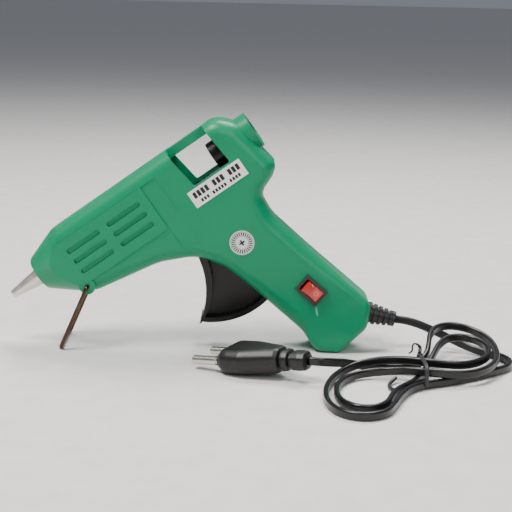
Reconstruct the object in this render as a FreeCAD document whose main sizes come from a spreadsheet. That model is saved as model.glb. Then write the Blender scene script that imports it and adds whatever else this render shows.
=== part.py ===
import FreeCAD, Part
import math
import os
import re

from FreeCAD import Placement, Rotation, Vector

# Hot-melt glue gun that stands on its wire stand and the toe of its handle.
# Everything on the gun is drawn in the barrel's own frame: X runs from the nose to the rear along
# the glue stick, Z is across the barrel and away from the handle, Y is the housing's thickness,
# with the left side at -Y. The origin is on the stick's axis at the housing's front. A common
# placement then leans the gun back so that the stand's foot and the toe touch Z = 0.

doc = FreeCAD.newDocument("glue_gun")

SIZES = {
    # housing
    "barrel_length": 145.0,      # front face to rear lower corner
    "barrel_top": 17.9,
    "nose_front": 2.0,
    "handle_length": 76.0,       # from below the barrel to the heel
    "half_thickness": 15.0,
    "wall": 2.2,
    "edge_round": 8.0,
    "nose_round": 5.0,
    "heel_round": 4.0,
    "cone_half_angle": 28.9,
    "cone_tilt": 9.1,
    "cone_apex_x": -15.6,
    "cone_apex_z": 4.65,
    "panel_height": 0.5,
    "slot_depth": 1.3,
    "slot_height": 2.8,
    "spine_half": 4.0,
    "spine_height": 5.0,
    "collar_radius": 10.6,
    "collar_out": 1.2,           # past the rear corner
    "collar_depth": 10.2,
    # stick and melt path
    "stick_radius": 5.6,
    "stick_clearance": 0.3,
    "nozzle_length": 18.2,
    "nozzle_tip_radius": 2.4,
    "nozzle_base_radius": 5.1,
    "nozzle_bore": 1.0,
    "shank_radius": 4.0,
    "chamber_radius": 8.3,
    "chamber_start": 8.0,
    "chamber_end": 60.0,
    # drive
    "pivot_back": 54.0,          # pivot ahead of the rear corner
    "pivot_drop": 38.5,
    "drive_drop": 14.5,          # drive pin below the stick's axis
    "half_swing": 14.0,
    "pivot_pin_radius": 2.0,
    "drive_pin_radius": 1.5,
    "fit": 0.05,                 # running fit, on the radius
    "side_gap": 0.3,
    "trigger_half": 8.4,
    "arm_half": 3.0,
    "rim_radius": 44.0,
    "rim_thickness": 2.6,
    "web_half": 1.6,
    "sleeve_radius": 8.2,
    "sleeve_wall": 1.9,
    "sleeve_length": 15.0,
    "sled_half": 9.3,
    "sled_thickness": 2.5,
    # stand
    "wire_radius": 1.1,
    "stand_pivot_x": 22.8,
    "stand_pivot_drop": 18.2,
    "stand_reach": 37.6,
    "stand_angle": 211.0,        # direction of the legs, measured in the side view
    "stand_half_width": 17.9,
    "boss_radius": 4.5,
    "boss_out": 0.4,
    # switch
    "bezel_length": 15.0,
    "bezel_width": 10.5,
    "bezel_height": 2.0,
    "switch_length": 13.0,
    "switch_width": 9.0,
    "switch_depth": 10.0,
    "rocker_tilt": 10.0,
    # labels
    "label_length": 33.8,
    "label_height": 9.8,
    "label_thickness": 0.2,
    "sticker_radius": 6.75,
    # cord
    "relief_radius": 6.4,
    "relief_end_radius": 4.5,
    "relief_length": 16.2,
    "cord_radius": 2.0,
    "hank_height": 11.8,
    "lobe_height": 18.3,
    "pin_pitch": 19.0,
    "plug_pin_radius": 2.4,
    "plug_pin_length": 15.0,
    "plug_half": 14.5,
    "plug_thickness": 13.4,
    "plug_length": 37.3,
    # screws
    "post_radius": 3.2,
    "screw_radius": 1.3,
    "screw_head_radius": 2.6,
    "clamp_screw_radius": 1.1,
}

sheet = doc.addObject("Spreadsheet::Sheet", "sizes")
for row, (alias, value) in enumerate(SIZES.items(), start=1):
    sheet.set("A%d" % row, alias)
    sheet.set("B%d" % row, str(value))
    sheet.setAlias("B%d" % row, alias)
doc.recompute()

parts = []          # (object, follows the gun's placement)


def num(text):
    """Value of a size, or of a sum or product of sizes."""
    return float(sheet.evalExpression(text)) if isinstance(text, str) else float(text)


def bind(obj, prop, text):
    """Tie a property to the sheet. A plain number is set as it is."""
    if isinstance(text, str):
        obj.setExpression(prop, re.sub(r"([a-z]\w*)", r"sizes.\1", text))
    else:
        setattr(obj, prop, text)


def add(kind, name):
    return doc.addObject(kind, name)


def keep(obj, label, on_gun=True):
    """Name a finished sub-part. Those on the gun take its leaning placement later."""
    obj.Label = label
    parts.append((obj, on_gun))
    return obj


# ---------------------------------------------------------------- outlines and basic solids

def corners(points):
    """Each corner of a closed outline of (x, z, radius) as (start, middle, end, centre)."""
    out = []
    for i, (x, z, radius) in enumerate(points):
        before, after = points[i - 1], points[(i + 1) % len(points)]
        here = Vector(x, 0, z)
        back = (Vector(before[0], 0, before[1]) - here).normalize()
        ahead = (Vector(after[0], 0, after[1]) - here).normalize()
        if radius <= 0:
            out.append((here, None, here, here))
            continue
        half = back.getAngle(ahead) / 2
        centre = here + (back + ahead).normalize() * (radius / math.sin(half))
        middle = centre + (here - centre).normalize() * radius
        reach = radius / math.tan(half)
        out.append((here + back * reach, middle, here + ahead * reach, centre))
    return out


def inset(points, depth):
    """The outline moved inwards: outer corners lose depth from their radius, inner ones gain it."""
    count = len(points)
    area = sum(points[i - 1][0] * points[i][1] - points[i][0] * points[i - 1][1] for i in range(count))
    side = 1 if area > 0 else -1
    moved = []
    for i in range(count):
        (ax, az, _), (bx, bz, _) = points[i - 1], points[i]
        length = math.hypot(bx - ax, bz - az)
        normal = (-(bz - az) / length * side, (bx - ax) / length * side)
        moved.append(((ax + normal[0] * depth, az + normal[1] * depth), (bx - ax, bz - az)))
    out = []
    for i in range(count):
        (px, pz), (ux, uz) = moved[i]
        (qx, qz), (vx, vz) = moved[(i + 1) % count]
        cross = ux * vz - uz * vx
        along = ((qx - px) * vz - (qz - pz) * vx) / cross
        radius = points[i][2] - depth if cross * side > 0 else points[i][2] + depth
        out.append((px + ux * along, pz + uz * along, max(radius, 0.3)))
    return out


def outline_sketch(name, points):
    """A sketch in the side view. Its normal is -Y."""
    sketch = add("Sketcher::SketchObject", name)
    sketch.Placement = Placement(Vector(0, 0, 0), Rotation(Vector(1, 0, 0), 90))
    flat = [[Vector(p.x, p.z, 0) if p is not None else None for p in corner[:3]]
            for corner in corners(points)]
    for i, (start, middle, end) in enumerate(flat):
        last = flat[i - 1][2]
        if last.distanceToPoint(start) > 1e-6:
            sketch.addGeometry(Part.LineSegment(last, start), False)
        if middle is not None:
            sketch.addGeometry(Part.Arc(start, middle, end), False)
    return sketch


def prism(name, points, near, length):
    """An outline in the side view, thickened from Y = -near towards -Y by length."""
    body = add("Part::Extrusion", name)
    body.Base = outline_sketch(name + "_outline", points)
    body.DirMode = "Custom"
    body.Dir = Vector(0, -1, 0)
    body.Solid = True
    bind(body, "LengthFwd", length)
    body.Placement = Placement(Vector(0, -num(near), 0), Rotation())
    return body


def box(name, low, high):
    body = add("Part::Box", name)
    body.Length, body.Width, body.Height = [high[i] - low[i] for i in range(3)]
    body.Placement = Placement(Vector(*low), Rotation())
    return body


def rod(name, start, direction, radius, length):
    """A cylinder from start along direction."""
    body = add("Part::Cylinder", name)
    bind(body, "Radius", radius)
    bind(body, "Height", length)
    body.Placement = Placement(Vector(*start), Rotation(Vector(0, 0, 1), Vector(*direction)))
    return body


def cut(name, base, *tools):
    body = add("Part::Cut", name)
    body.Base = base
    body.Tool = tools[0] if len(tools) == 1 else fuse(name + "_tools", *tools)
    return body


def fuse(name, *shapes):
    body = add("Part::MultiFuse", name)
    body.Shapes = list(shapes)
    return body


def fuse_each(name, base, *others):
    """Join one solid after another, which is surer than all at once on a thin shell."""
    for i, other in enumerate(others):
        body = add("Part::Fuse", "%s_%d" % (name, i))
        body.Base, body.Tool = base, other
        base = body
    return base


def common(name, *shapes):
    body = add("Part::MultiCommon", name)
    body.Shapes = list(shapes)
    return body


def tube(name, start, direction, outer, inner, length):
    """A straight tube along direction."""
    return cut(name, rod(name + "_outside", start, direction, outer, length),
               rod(name + "_bore", start, direction, inner, length))


def turned(name, profile):
    """A body turned about the X axis from (x, radius) points; the axis closes the profile."""
    body = add("PartDesign::Body", name)
    sketch = body.newObject("Sketcher::SketchObject", name + "_profile")
    sketch.AttachmentSupport = (plane_of(body, "XZ_Plane"), [""])
    sketch.MapMode = "FlatFace"
    points = [Vector(x, radius, 0) for x, radius in profile]
    for i, point in enumerate(points):
        sketch.addGeometry(Part.LineSegment(points[i - 1], point), False)
    turn = body.newObject("PartDesign::Revolution", name + "_turn")
    turn.Profile = sketch
    turn.ReferenceAxis = (sketch, ["H_Axis"])
    turn.Angle = 360.0
    return body


def plane_of(body, role):
    return next(f for f in body.Origin.OriginFeatures if f.Role == role)


def rounded_edges(name, base, face_y, radius_at):
    """Round the edges that lie in the plane Y = face_y, each end by its own radius."""
    doc.recompute()
    body = add("Part::Fillet", name)
    body.Base = base
    rows = []
    for index, edge in enumerate(base.Shape.Edges, start=1):
        bounds = edge.BoundBox
        if abs(bounds.YMin - face_y) < 1e-4 and abs(bounds.YMax - face_y) < 1e-4:
            rows.append((index, radius_at(edge.valueAt(edge.FirstParameter)),
                         radius_at(edge.valueAt(edge.LastParameter))))
    body.Edges = rows
    return body


# ---------------------------------------------------------------- reference points

LEFT, RIGHT = -1, 1
rear_x = num("barrel_length")
nose_x = num("nose_front")
top_z = num("barrel_top")
half = num("half_thickness")
wall = num("wall")
root = Vector(rear_x - 16.8, 0, -44.0)                      # rear of the handle, below the barrel
handle_way = Vector(0.2236, 0, -0.9747)
heel = root + handle_way * num("handle_length")
pivot = Vector(rear_x - num("pivot_back"), 0, -num("pivot_drop"))
arm_height = num("pivot_drop - drive_drop")
swing = math.radians(num("half_swing"))
drive_x = pivot.x + arm_height * math.tan(swing)
stroke = 2 * arm_height * math.tan(swing)
switch_centre = heel + Vector(-22.1, 0, 28.5)
switch_way = Vector(math.sin(math.radians(13.9)), 0, -math.cos(math.radians(13.9)))
stand_pivot = Vector(num("stand_pivot_x"), 0, -num("stand_pivot_drop"))
stand_angle = math.radians(num("stand_angle"))
foot = stand_pivot + Vector(math.cos(stand_angle), 0, math.sin(stand_angle)) * num("stand_reach")
relief_root = heel + Vector(-5.3, 0, -3.1)
relief_way = Vector(0.668, 0, -0.744).normalize()

HOUSING = (
    [(nose_x, -9.3, 2.5), (nose_x, 11.2, 3.5), (20, top_z, 12), (rear_x - 13, top_z, 12),
     (rear_x - 4.4, 9, 12), (rear_x + 1.2, -22, 6), (rear_x - 4.5, -26.3, 9),
     (rear_x - 15.5, -30.5, 9), (root.x, root.z, 20), (root.x + 5.1, root.z - 22, 60)]
    + [(heel.x + dx, heel.z + dz, radius) for dx, dz, radius in
       ((0.4, 2.1, 7), (-9.3, -7.7, 7), (-29.9, -10.7, 5), (-40.2, -2.4, 9), (-39.5, 9.1, 25))]
    + [(rear_x - 48, -74, 60), (rear_x - 54.5, -52, 40), (rear_x - 64, -39, 25), (rear_x - 83, -30.4, 30),
       (26, -24.0, 12), (13, -18.5, 6)])

SCREWS = [(24.0, 12.2), (rear_x - 59, 12.2), (rear_x - 75, -24.5), (rear_x - 26, -40.0),
          (heel.x - 29.2, heel.z + 8.0)]
CLAMP_SCREWS = [(heel.x - 18.7, heel.z + 7.5), (heel.x - 8.3, heel.z + 7.5)]
SLOT_ROWS = (3.3, -3.2, -9.8)
SLOT_COLUMNS = ((24.9, 46.6), (51.8, 73.4))


# ---------------------------------------------------------------- housing

def edge_radius(less):
    """Rounding of the housing's side edges, smaller at the nose and the heel."""
    def radius_at(point):
        if point.z < heel.z + 8:
            return num("heel_round") - less
        if point.x < 12:
            return num("nose_round") - less
        return num("edge_round") - less
    return radius_at


def nose_cutter(name, shift):
    """What lies outside the nose's tilted cone, moved back by shift."""
    height = 62.0
    cone = add("Part::Cone", name + "_cone")
    cone.Radius1 = 0
    cone.setExpression("Radius2", "%g * tan(sizes.cone_half_angle)" % height)
    cone.Height = height
    tilt = math.radians(num("cone_tilt"))
    way = Vector(math.cos(tilt), 0, -math.sin(tilt))
    cone.Placement = Placement(Vector(num("cone_apex_x") + shift, 0, num("cone_apex_z")),
                               Rotation(Vector(0, 0, 1), way))
    block = box(name + "_block", (-4, -24, -24.5), (30, 24, 26))
    return cut(name, block, cone)


def slot_outline(x0, x1, z, height):
    radius = height / 2 - 0.01
    return [(x0, z - height / 2, radius), (x1, z - height / 2, radius),
            (x1, z + height / 2, radius), (x0, z + height / 2, radius)]


def mirrored(name, body, side):
    """The left side's body as it is, or its mirror image for the right side."""
    if side == LEFT:
        return body
    mirror = add("Part::Mirroring", name)
    mirror.Source = body
    mirror.Normal = Vector(0, 1, 0)
    return mirror


def housing_half(side):
    """One shell, drawn as the left one and mirrored for the right."""
    tag = "left" if side == LEFT else "right"
    outside = rounded_edges(tag + "_outside_round", prism(tag + "_outside", HOUSING, 0, "half_thickness"),
                            -half, edge_radius(0))
    panel = prism(tag + "_panel",
                  [(nose_x + 2, -16.7, 0), (78.2, -16.7, 1.7), (78.6, 10.1, 0), (nose_x + 2, 10.1, 0)],
                  half - 1, 1 + num("panel_height"))
    boss = rod(tag + "_stand_boss", (stand_pivot.x, -9, stand_pivot.z), (0, -1, 0),
               "boss_radius", half + num("boss_out") - 9)
    collar = rod(tag + "_collar", (rear_x + num("collar_out - collar_depth"), 0, 0), (1, 0, 0),
                 "collar_radius", "collar_depth")
    skin = cut(tag + "_skin", fuse(tag + "_skin_all", outside, panel), nose_cutter(tag + "_nose", 0))

    inside = rounded_edges(tag + "_inside_round",
                           prism(tag + "_inside", inset(HOUSING, wall), -1, half - wall + 1), -(half - wall),
                           edge_radius(wall))
    back_off = wall / math.sin(math.radians(num("cone_half_angle")))
    hollow = cut(tag + "_hollow", inside, nose_cutter(tag + "_inner_nose", back_off))
    shell = cut(tag + "_shell", skin, hollow)

    depth = half - wall / 2
    limit = rounded_edges(tag + "_limit_round",
                          prism(tag + "_limit_box", inset(HOUSING, wall / 2), 0, depth),
                          -depth, edge_radius(wall / 2))
    limit = cut(tag + "_limit", limit, nose_cutter(tag + "_limit_nose", back_off / 2))
    inner = [rod("%s_post_%d" % (tag, i), (x, -depth - 1, z), (0, 1, 0), "post_radius", depth + 2)
             for i, (x, z) in enumerate(SCREWS)]
    inner += [box("%s_chamber_rib_%d" % (tag, i), (x, -depth - 1, -30), (x + 2, 1, 20))
              for i, x in enumerate((12.0, 54.0))]
    fillings = [boss, collar] + [common("%s_inner_%d" % (tag, i), piece, limit)
                                 for i, piece in enumerate(inner)]
    rail = box(tag + "_rail", (rear_x - 61, -depth, -12.2),
               (rear_x - 8, -7.5, -num("sled_thickness") - 7.2))
    spine = box(tag + "_spine", (rear_x - 52, -num("spine_half"), top_z - num("spine_height")),
                (rear_x - 16, 0, top_z - wall / 2))
    pivot_boss = rod(tag + "_pivot_boss", (pivot.x, -depth, pivot.z), (0, 1, 0), 4.5,
                     depth - num("trigger_half + side_gap"))
    fillings += [rail, spine, pivot_boss]

    if side == LEFT:
        for i, (x, z) in enumerate(CLAMP_SCREWS):
            fillings.append(rod("clamp_post_%d" % i, (x, -depth, z), (0, 1, 0), 2.6, depth))
    filled = fuse_each(tag + "_filled", shell, *fillings)

    clear = [
        rod(tag + "_nozzle_hole", (nose_x - 4, 0, 0), (1, 0, 0), "nozzle_base_radius + 0.35", 14),
        rod(tag + "_chamber_seat", (8, 0, 0), (1, 0, 0), "chamber_radius + side_gap", 54),
        rod(tag + "_stick_bore", (rear_x - 12, 0, 0), (1, 0, 0), "stick_radius + stick_clearance", 20),
        rod(tag + "_pivot_hole", (pivot.x, -(half - wall), pivot.z), (0, 1, 0),
            "pivot_pin_radius", half),
        rod(tag + "_stand_hole", (stand_pivot.x, -half - 4, stand_pivot.z), (0, 1, 0),
            "wire_radius + fit", 9),
        rod(tag + "_relief_hole", tuple(relief_root - relief_way * 6), tuple(relief_way),
            "relief_radius - 0.3", 12),
        trigger_way(tag),
        box(tag + "_beyond_seam", (-10, 0, -150), (rear_x + 20, 30, 40)),
    ]
    clear += window(tag)
    clear.append(prism(tag + "_strip", [(78.6, -31, 0), (rear_x - 56.7, -33, 0),
                                        (rear_x - 56.7, 10.1, 0), (78.6, 10.1, 0)], half - 0.35, 2))
    for i, z in enumerate(SLOT_ROWS):
        for j, (x0, x1) in enumerate(SLOT_COLUMNS):
            outline = slot_outline(x0, x1, z, num("slot_height"))
            clear.append(prism("%s_slot_%d%d" % (tag, i, j), outline,
                               half + num("panel_height - slot_depth"), 3))
    for i, (x, z) in enumerate(SCREWS):
        clear.append(rod("%s_screw_hole_%d" % (tag, i), (x, -half + 1.6 if side == LEFT else -half - 1, z),
                         (0, 1, 0), "screw_radius", half + 2))
        if side == RIGHT:
            clear.append(rod("%s_screw_recess_%d" % (tag, i), (x, -half - 1, z), (0, 1, 0),
                             "screw_head_radius + 0.2", 3.4))
    if side == LEFT:
        clear += [rod("clamp_post_hole_%d" % i, (x, -6, z), (0, 1, 0), "clamp_screw_radius", 8)
                  for i, (x, z) in enumerate(CLAMP_SCREWS)]
        clear.append(switch_prism(tag + "_switch_hole", "switch_length + 0.2", "switch_width + 0.2",
                                  half - 6, 10))
    body = cut(tag + "_housing_body", filled, *clear)
    if side == RIGHT:
        body = mirrored("right_housing_mirror", body, side)
    return keep(body, tag + "_housing")


def window(tag):
    """The opening through both sides; a spine stays along the top."""
    left, right = rear_x - 44.9, rear_x - 20.8
    low = -5.9
    full = [(left + 3.1, low, 1.2), (right + 2.4, low, 1.2), (right, top_z + 3, 0), (left - 0.3, top_z + 3, 0)]
    under = [(left + 3.1, low, 1.2), (right + 2.4, low, 1.2),
             (right + 0.5, top_z - num("spine_height"), 0), (left + 0.4, top_z - num("spine_height"), 0)]
    return [prism(tag + "_window", full, "spine_half", "half_thickness"),
            prism(tag + "_window_under", under, -1, half + 2)]


def trigger_way(tag):
    """The gap in the handle's front that the trigger swings through."""
    width = num("trigger_half") + 0.5
    drum = rod(tag + "_trigger_drum", (pivot.x, -width, pivot.z), (0, 1, 0), "rim_radius + 0.7", 2 * width)
    front = prism(tag + "_trigger_front",
                  [(pivot.x - 10.6, -31, 0), (pivot.x + 2, -31, 0), (pivot.x + 20, -86, 0),
                   (pivot.x - 31, -86, 0), (pivot.x - 31, -52, 0), (pivot.x - 12.5, -44, 0)],
                  -width, 2 * width)
    return common(tag + "_trigger_gap", drum, front)


def switch_prism(name, length, width, near, depth):
    """A block square to the switch, in from the left side."""
    body = add("Part::Box", name)
    bind(body, "Height", length)
    bind(body, "Length", width)
    bind(body, "Width", depth)
    turn = Rotation(Vector(0, 0, -1), switch_way)
    corner = Vector(-num(width) / 2, -num(near) - num(depth), -num(length) / 2)
    body.Placement = Placement(switch_centre, turn) * Placement(corner, Rotation())
    return body


# ---------------------------------------------------------------- melt path

def melt_path():
    base, tip, reach = num("nozzle_base_radius"), num("nozzle_tip_radius"), num("nozzle_length")
    start, end = num("chamber_start"), num("chamber_end")
    shank, bore = num("shank_radius"), num("nozzle_bore")
    keep(turned("nozzle_body", [
        (-reach, bore), (-reach, tip - 0.4), (-reach + 0.4, tip), (nose_x + 0.6, base), (start - 1, base),
        (start - 1, shank), (start + 7, shank), (start + 7, 2.6), (-reach + 8, bore)]), "nozzle")
    keep(tube("nozzle_washer_body", (start - 1, 0, 0), (1, 0, 0), "nozzle_base_radius + 0.1",
              "shank_radius + fit", 1), "nozzle_washer")

    radius, stick = num("chamber_radius"), num("stick_radius + stick_clearance")
    barrel = turned("chamber_turned", [
        (start, shank), (start, radius), (end, radius), (end, stick + 1.1), (end + 6, stick + 1.1),
        (end + 6, stick), (start + 14, stick), (start + 8, 2.6), (start + 7, 2.6), (start + 7, shank)])
    pad = box("chamber_pad", (start + 12, -6.4, -radius - 0.1), (start + 42, 6.4, -stick - 0.8))
    keep(fuse("heating_chamber_body", barrel, pad), "heating_chamber")
    keep(box("ptc_heater_body", (start + 16, -6, -radius - 2.8), (start + 40, 6, -radius - 0.1)),
         "ptc_heater")
    band = box("heater_clip_outside", (start + 22, -radius - 1.2, -radius - 3.6),
               (start + 34, radius + 1.2, radius + 1.2))
    gap = box("heater_clip_inside", (start + 21, -radius - 0.4, -radius - 2.8),
              (start + 35, radius + 0.4, radius + 0.4))
    keep(cut("heater_clip_body", band, gap), "heater_clip")
    keep(turned("inlet_sleeve_body", [
        (end, stick + 1.1), (end, radius), (end + 13, radius), (end + 14, radius - 1),
        (end + 14, stick), (end + 6, stick), (end + 6, stick + 1.1)]), "inlet_sleeve")
    keep(tube("sleeve_clamp_body", (end + 2, 0, 0), (1, 0, 0), "chamber_radius + 0.9",
              "chamber_radius", 2.4), "sleeve_clamp")


# ---------------------------------------------------------------- carriage and trigger

def carriage():
    """Sled under the stick with a sleeve around it at the rear, and lugs for the drive pin."""
    sled_top = -6.9
    sled_low = sled_top - num("sled_thickness")
    back = rear_x - 10.6
    gripper_x = drive_x + 10.5
    sled = box("sled_plate", (drive_x - 9, -num("sled_half"), sled_low), (back, num("sled_half"), sled_top))
    sleeve = rod("sleeve_outside", (back - num("sleeve_length"), 0, 0), (1, 0, 0),
                 "sleeve_radius", "sleeve_length")
    lugs = [box("lug_%d" % i, (drive_x - 3.6, low, -num("drive_drop") - 2.8),
                (gripper_x + 3.4, high, sled_low + 0.5))
            for i, (low, high) in enumerate(((-6.4, -3.3), (3.3, 6.4)))]
    solid = fuse("carriage_solid", sled, sleeve, *lugs)
    bore = rod("sleeve_bore", (back - num("sleeve_length") - 1, 0, 0), (1, 0, 0),
               "sleeve_radius - sleeve_wall", 30)
    pin_hole = rod("drive_hole", (drive_x, -10, -num("drive_drop")), (0, 1, 0), "drive_pin_radius", 20)
    grip_hole = rod("grip_hole", (gripper_x, -10, -num("drive_drop") + 1.6), (0, 1, 0), 1.2, 20)
    grip_gap = box("grip_gap", (gripper_x - 4.2, -3.3, sled_low - 1), (gripper_x + 4.2, 3.3, sled_top + 1))
    keep(cut("carriage_body", solid, bore, pin_hole, grip_hole, grip_gap), "carriage")
    keep(rod("drive_pin_body", (drive_x, -6.4, -num("drive_drop")), (0, 1, 0), "drive_pin_radius", 12.8),
         "drive_pin")
    keep(rod("gripper_pin_body", (gripper_x, -6.4, -num("drive_drop") + 1.6), (0, 1, 0), 1.2, 12.8),
         "gripper_pin")
    pawl = prism("gripper_blank", [
        (gripper_x - 2.4, -15.2, 2.0), (gripper_x + 2.4, -15.2, 2.0), (gripper_x + 2.6, -6.2, 0.4),
        (gripper_x + 0.6, -7.6, 0.2), (gripper_x - 1.4, -6.2, 0.3), (gripper_x - 2.4, -8.4, 0.8)], -2.9, 5.8)
    hole = rod("gripper_hole", (gripper_x, -4, -num("drive_drop") + 1.6), (0, 1, 0), "1.2 + fit", 8)
    keep(cut("gripper_body", pawl, hole), "gripper")


def arc_strip(name, outer, inner, near, length):
    """A strip in the side view between two three-point arcs."""
    edges = [Part.Arc(*outer).toShape(), Part.LineSegment(outer[2], inner[0]).toShape(),
             Part.Arc(*inner).toShape(), Part.LineSegment(inner[2], outer[0]).toShape()]
    face = add("Part::Feature", name + "_face")
    face.Shape = Part.Face(Part.Wire(edges))
    body = add("Part::Extrusion", name)
    body.Base = face
    body.DirMode = "Custom"
    body.Dir = Vector(0, -1, 0)
    body.Solid = True
    bind(body, "LengthFwd", length)
    body.Placement = Placement(Vector(0, -num(near), 0), Rotation())
    return body


def about_pivot(radius, degrees):
    """A point at radius from the pivot; degrees are from straight down, rearwards positive."""
    angle = math.radians(degrees)
    return pivot + Vector(math.sin(angle), 0, -math.cos(angle)) * radius


def trigger():
    """Sector trigger: finger face, rim and web below the pivot, driving arm above it."""
    wide = num("trigger_half")
    face_outer = (pivot + Vector(-9.2, 0, 1.0), pivot + Vector(-15.2, 0, -16.8), pivot + Vector(-31.2, 0, -33.4))
    face_inner = (about_pivot(num("rim_radius"), -41), pivot + Vector(-11.4, 0, -17.6), pivot + Vector(-5.4, 0, 0))
    face = arc_strip("finger_face", face_outer, face_inner, -wide, 2 * wide)
    rim_out, rim_in = num("rim_radius"), num("rim_radius - rim_thickness")
    rim = arc_strip("rim", tuple(about_pivot(rim_out, a) for a in (-42.5, -14, 13)),
                    tuple(about_pivot(rim_in, a) for a in (13, -14, -42.5)), -wide, 2 * wide)
    web_points = [pivot, pivot + Vector(-6, 0, -2), pivot + Vector(-12.4, 0, -17), about_pivot(rim_in + 1, -41)]
    web_points += [about_pivot(rim_in + 1, a) for a in (-28, -14, 0, 13)]
    web = prism("web", [(p.x, p.z, 0) for p in web_points], -num("web_half"), "2 * web_half")
    hub = rod("hub", (pivot.x, -wide, pivot.z), (0, 1, 0), 5.4, 2 * wide)
    way = Vector(math.sin(swing), 0, math.cos(swing))
    across = Vector(way.z, 0, -way.x)
    top, middle = arm_height + 4.3, arm_height * (1 + 1 / math.cos(swing)) / 2
    arm_points = [pivot - across * 4.6, pivot + across * 4.6, pivot + way * top + across * 3.5,
                  pivot + way * top - across * 3.5]
    arm = prism("arm", [(p.x, p.z, 3.0 if i > 1 else 0) for i, p in enumerate(arm_points)],
                -num("arm_half"), "2 * arm_half")
    reach = arm_height * (1 / math.cos(swing) - 1) / 2 + num("drive_pin_radius") + 0.35
    wide_slot = num("drive_pin_radius") + 0.14
    slot_points = [pivot + way * (middle + a * reach) + across * (b * wide_slot)
                   for a, b in ((-1, -1), (-1, 1), (1, 1), (1, -1))]
    slot = prism("arm_slot", [(p.x, p.z, wide_slot - 0.02) for p in slot_points], -5, 10)
    bore = rod("hub_bore", (pivot.x, -10, pivot.z), (0, 1, 0), "pivot_pin_radius + fit", 20)
    spring_gap = tube("spring_gap", (pivot.x, 3.4, pivot.z), (0, 1, 0), 7.5, 5.4, wide)
    keep(cut("trigger_body", fuse("trigger_solid", face, rim, web, hub, arm), slot, bore, spring_gap), "trigger")
    pin_half = half - wall - 0.5
    keep(rod("pivot_pin_body", (pivot.x, -pin_half, pivot.z), (0, 1, 0), "pivot_pin_radius", 2 * pin_half),
         "trigger_pivot_pin")


def return_spring():
    """Torsion spring around the hub; one leg bears on the housing, the other on the finger face."""
    radius, wire, turns, pitch, leg = 6.4, 0.45, 2.5, 1.1, 7.0
    coil = Part.makeHelix(pitch, pitch * turns, radius, 0, True)
    coil.Placement = Placement(pivot + Vector(0, 6.9, 0), Rotation(Vector(1, 0, 0), 90))
    first, last = coil.Edges[0], coil.Edges[-1]
    start, end = first.valueAt(first.FirstParameter), last.valueAt(last.LastParameter)
    way_in, way_out = first.tangentAt(first.FirstParameter), last.tangentAt(last.LastParameter)
    tip = start - way_in * leg
    path = [Part.makeLine(tip, start)] + coil.Edges + [Part.makeLine(end, end + way_out * leg)]
    ring = Part.Wire(Part.makeCircle(wire, tip, way_in))
    body = add("Part::Feature", "return_spring_body")
    body.Shape = Part.Wire(path).makePipeShell([ring], True, False)
    keep(body, "return_spring")


# ---------------------------------------------------------------- stand, switch, labels

def wire_stand():
    """Bent wire: two stubs in the housing's bosses, two legs and a foot across."""
    wide, bend = num("stand_half_width"), 3.0
    inner = half - 2.4
    body = add("Part::Feature", "wire_stand_body")
    route = [stand_pivot + Vector(0, -inner, 0), stand_pivot + Vector(0, -wide, 0),
             foot + Vector(0, -wide, 0), foot + Vector(0, wide, 0),
             stand_pivot + Vector(0, wide, 0), stand_pivot + Vector(0, inner, 0)]
    body.Shape = bent_tube(route, num("wire_radius"), [1.6, bend, bend, 1.6])
    keep(body, "wire_stand")


def bent_tube(route, radius, bends=None):
    """A round bar along straight runs joined by tangent arcs. Without bends given, each arc is as
    large as its two runs allow."""
    edges, last = [], route[0]
    for i in range(1, len(route) - 1):
        here = route[i]
        back, ahead = route[i - 1] - here, route[i + 1] - here
        short = min(back.Length, ahead.Length)
        back, ahead = back.normalize(), ahead.normalize()
        half_angle = back.getAngle(ahead) / 2
        bend = bends[i - 1] if bends else 0.45 * short * math.tan(half_angle)
        reach = bend / math.tan(half_angle)
        centre = here + (back + ahead).normalize() * (bend / math.sin(half_angle))
        middle = centre + (here - centre).normalize() * bend
        edges.append(Part.LineSegment(last, here + back * reach).toShape())
        edges.append(Part.Arc(here + back * reach, middle, here + ahead * reach).toShape())
        last = here + ahead * reach
        if not bends:
            print("bend radius %.1f" % bend)
    edges.append(Part.LineSegment(last, route[-1]).toShape())
    path = Part.Wire(edges)
    ring = Part.Wire(Part.makeCircle(radius, route[0], route[1] - route[0]))
    solid = path.makePipeShell([ring], True, False)
    wanted = math.pi * radius ** 2 * path.Length
    if abs(solid.Volume / wanted - 1) > 0.02:
        raise RuntimeError("tube volume %.1f, wanted %.1f" % (solid.Volume, wanted))
    return solid


def on_switch(along, out, across=0.0):
    """A point on the switch: along its length, out of the left side, and across."""
    side_way = Vector(-switch_way.z, 0, switch_way.x)
    return switch_centre + switch_way * along + side_way * across + Vector(0, -out, 0)


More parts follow.
